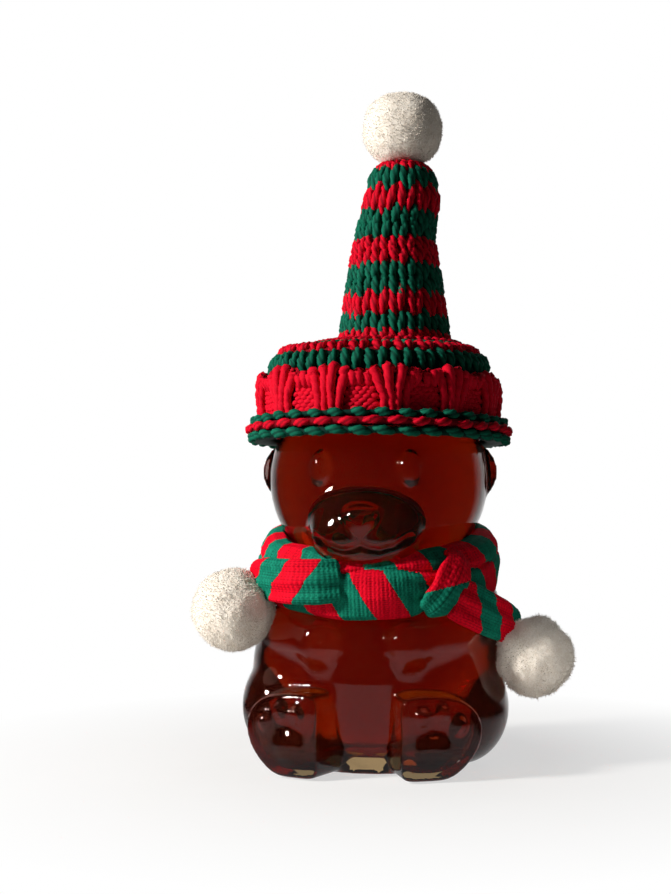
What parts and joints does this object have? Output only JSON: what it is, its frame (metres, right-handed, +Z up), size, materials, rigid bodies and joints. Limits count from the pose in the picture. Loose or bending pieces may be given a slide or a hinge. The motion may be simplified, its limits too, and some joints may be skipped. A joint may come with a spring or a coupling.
{
  "type": "honey bear bottle",
  "caption": "Clear glass bottle in the shape of a sitting bear, full of honey, with a twist-off lid under a knitted pompom hat and a striped scarf with pompom ends.",
  "frame": {"origin": "centre of the flat base, on the surface that the bottle stands on", "axes": "+Z up, the bear faces -Y, +X to the right of a person who looks at its face"},
  "size_m": [0.1096, 0.08, 0.1988],
  "materials": {
    "clear_glass": "polished",
    "honey": "gloss",
    "lid_lacquer": "satin",
    "gasket_rubber": "matte",
    "red_yarn": "matte",
    "green_yarn": "matte",
    "cream_yarn": "matte"
  },
  "bodies": {
    "bottle": {"glass_bottle": "clear_glass", "honey_fill": "honey", "scarf_wrap_red": "red_yarn", "scarf_wrap_green": "green_yarn", "scarf_knot": "red_yarn"},
    "gasket": {"lid_gasket": "gasket_rubber"},
    "lid": {"lid_shell": "lid_lacquer"},
    "hat": {"hat_edge_lower_green": "green_yarn", "hat_edge_middle_red": "red_yarn", "hat_edge_upper_green": "green_yarn", "hat_cuff_red": "red_yarn", "hat_crown_green": "green_yarn", "hat_crown_red": "red_yarn", "hat_spire_red_foot": "red_yarn", "hat_spire_green_low": "green_yarn", "hat_spire_red_low": "red_yarn", "hat_spire_green_middle": "green_yarn", "hat_spire_red_middle": "red_yarn"},
    "hat_tip": {"hat_tip_green_low": "green_yarn", "hat_tip_red": "red_yarn", "hat_tip_green_high": "green_yarn", "hat_gather_red": "red_yarn", "hat_pompom": "cream_yarn", "hat_pompom_tie": "cream_yarn"},
    "left_tail": {"scarf_left_tail_green": "green_yarn", "scarf_left_tail_red": "red_yarn", "scarf_left_pompom": "cream_yarn", "scarf_left_tie": "cream_yarn"},
    "right_tail": {"scarf_right_tail_red": "red_yarn", "scarf_right_tail_green": "green_yarn", "scarf_right_pompom": "cream_yarn", "scarf_right_tie": "cream_yarn"}
  },
  "joints": [
    {"name": "lid_lift", "type": "slide", "parent": "bottle", "child": "gasket", "axis": [0, 0, 1], "range_m": [0, 0.0022]},
    {"name": "lid_turn", "type": "hinge", "parent": "gasket", "child": "lid", "pos_m": [0, 0, 0.1166], "axis": [0, 0, 1], "range_deg": [0, 66]},
    {"name": "hat_lift", "type": "slide", "parent": "bottle", "child": "hat", "axis": [0, 0, 1], "range_m": [0, 0.06]},
    {"name": "hat_tip_bend", "type": "hinge", "parent": "hat", "child": "hat_tip", "pos_m": [0.0047, 0, 0.14741], "axis": [0, 1, 0], "range_deg": [-25, 25], "stiffness_Nm_per_rad": 0.008},
    {"name": "left_tail_swing", "type": "hinge", "parent": "bottle", "child": "left_tail", "pos_m": [-0.01322, -0.03602, 0.0524], "axis": [0.205, 0.564, 0.8], "range_deg": [0, 45]},
    {"name": "right_tail_swing", "type": "hinge", "parent": "bottle", "child": "right_tail", "pos_m": [0.0225, -0.02623, 0.05203], "axis": [-0.1005, -0.7035, -0.7035], "range_deg": [0, 45]}
  ],
  "couplings": [
    {"joint": "lid_lift", "follows": "lid_turn", "m_per_rad": 0.0019099}
  ]
}
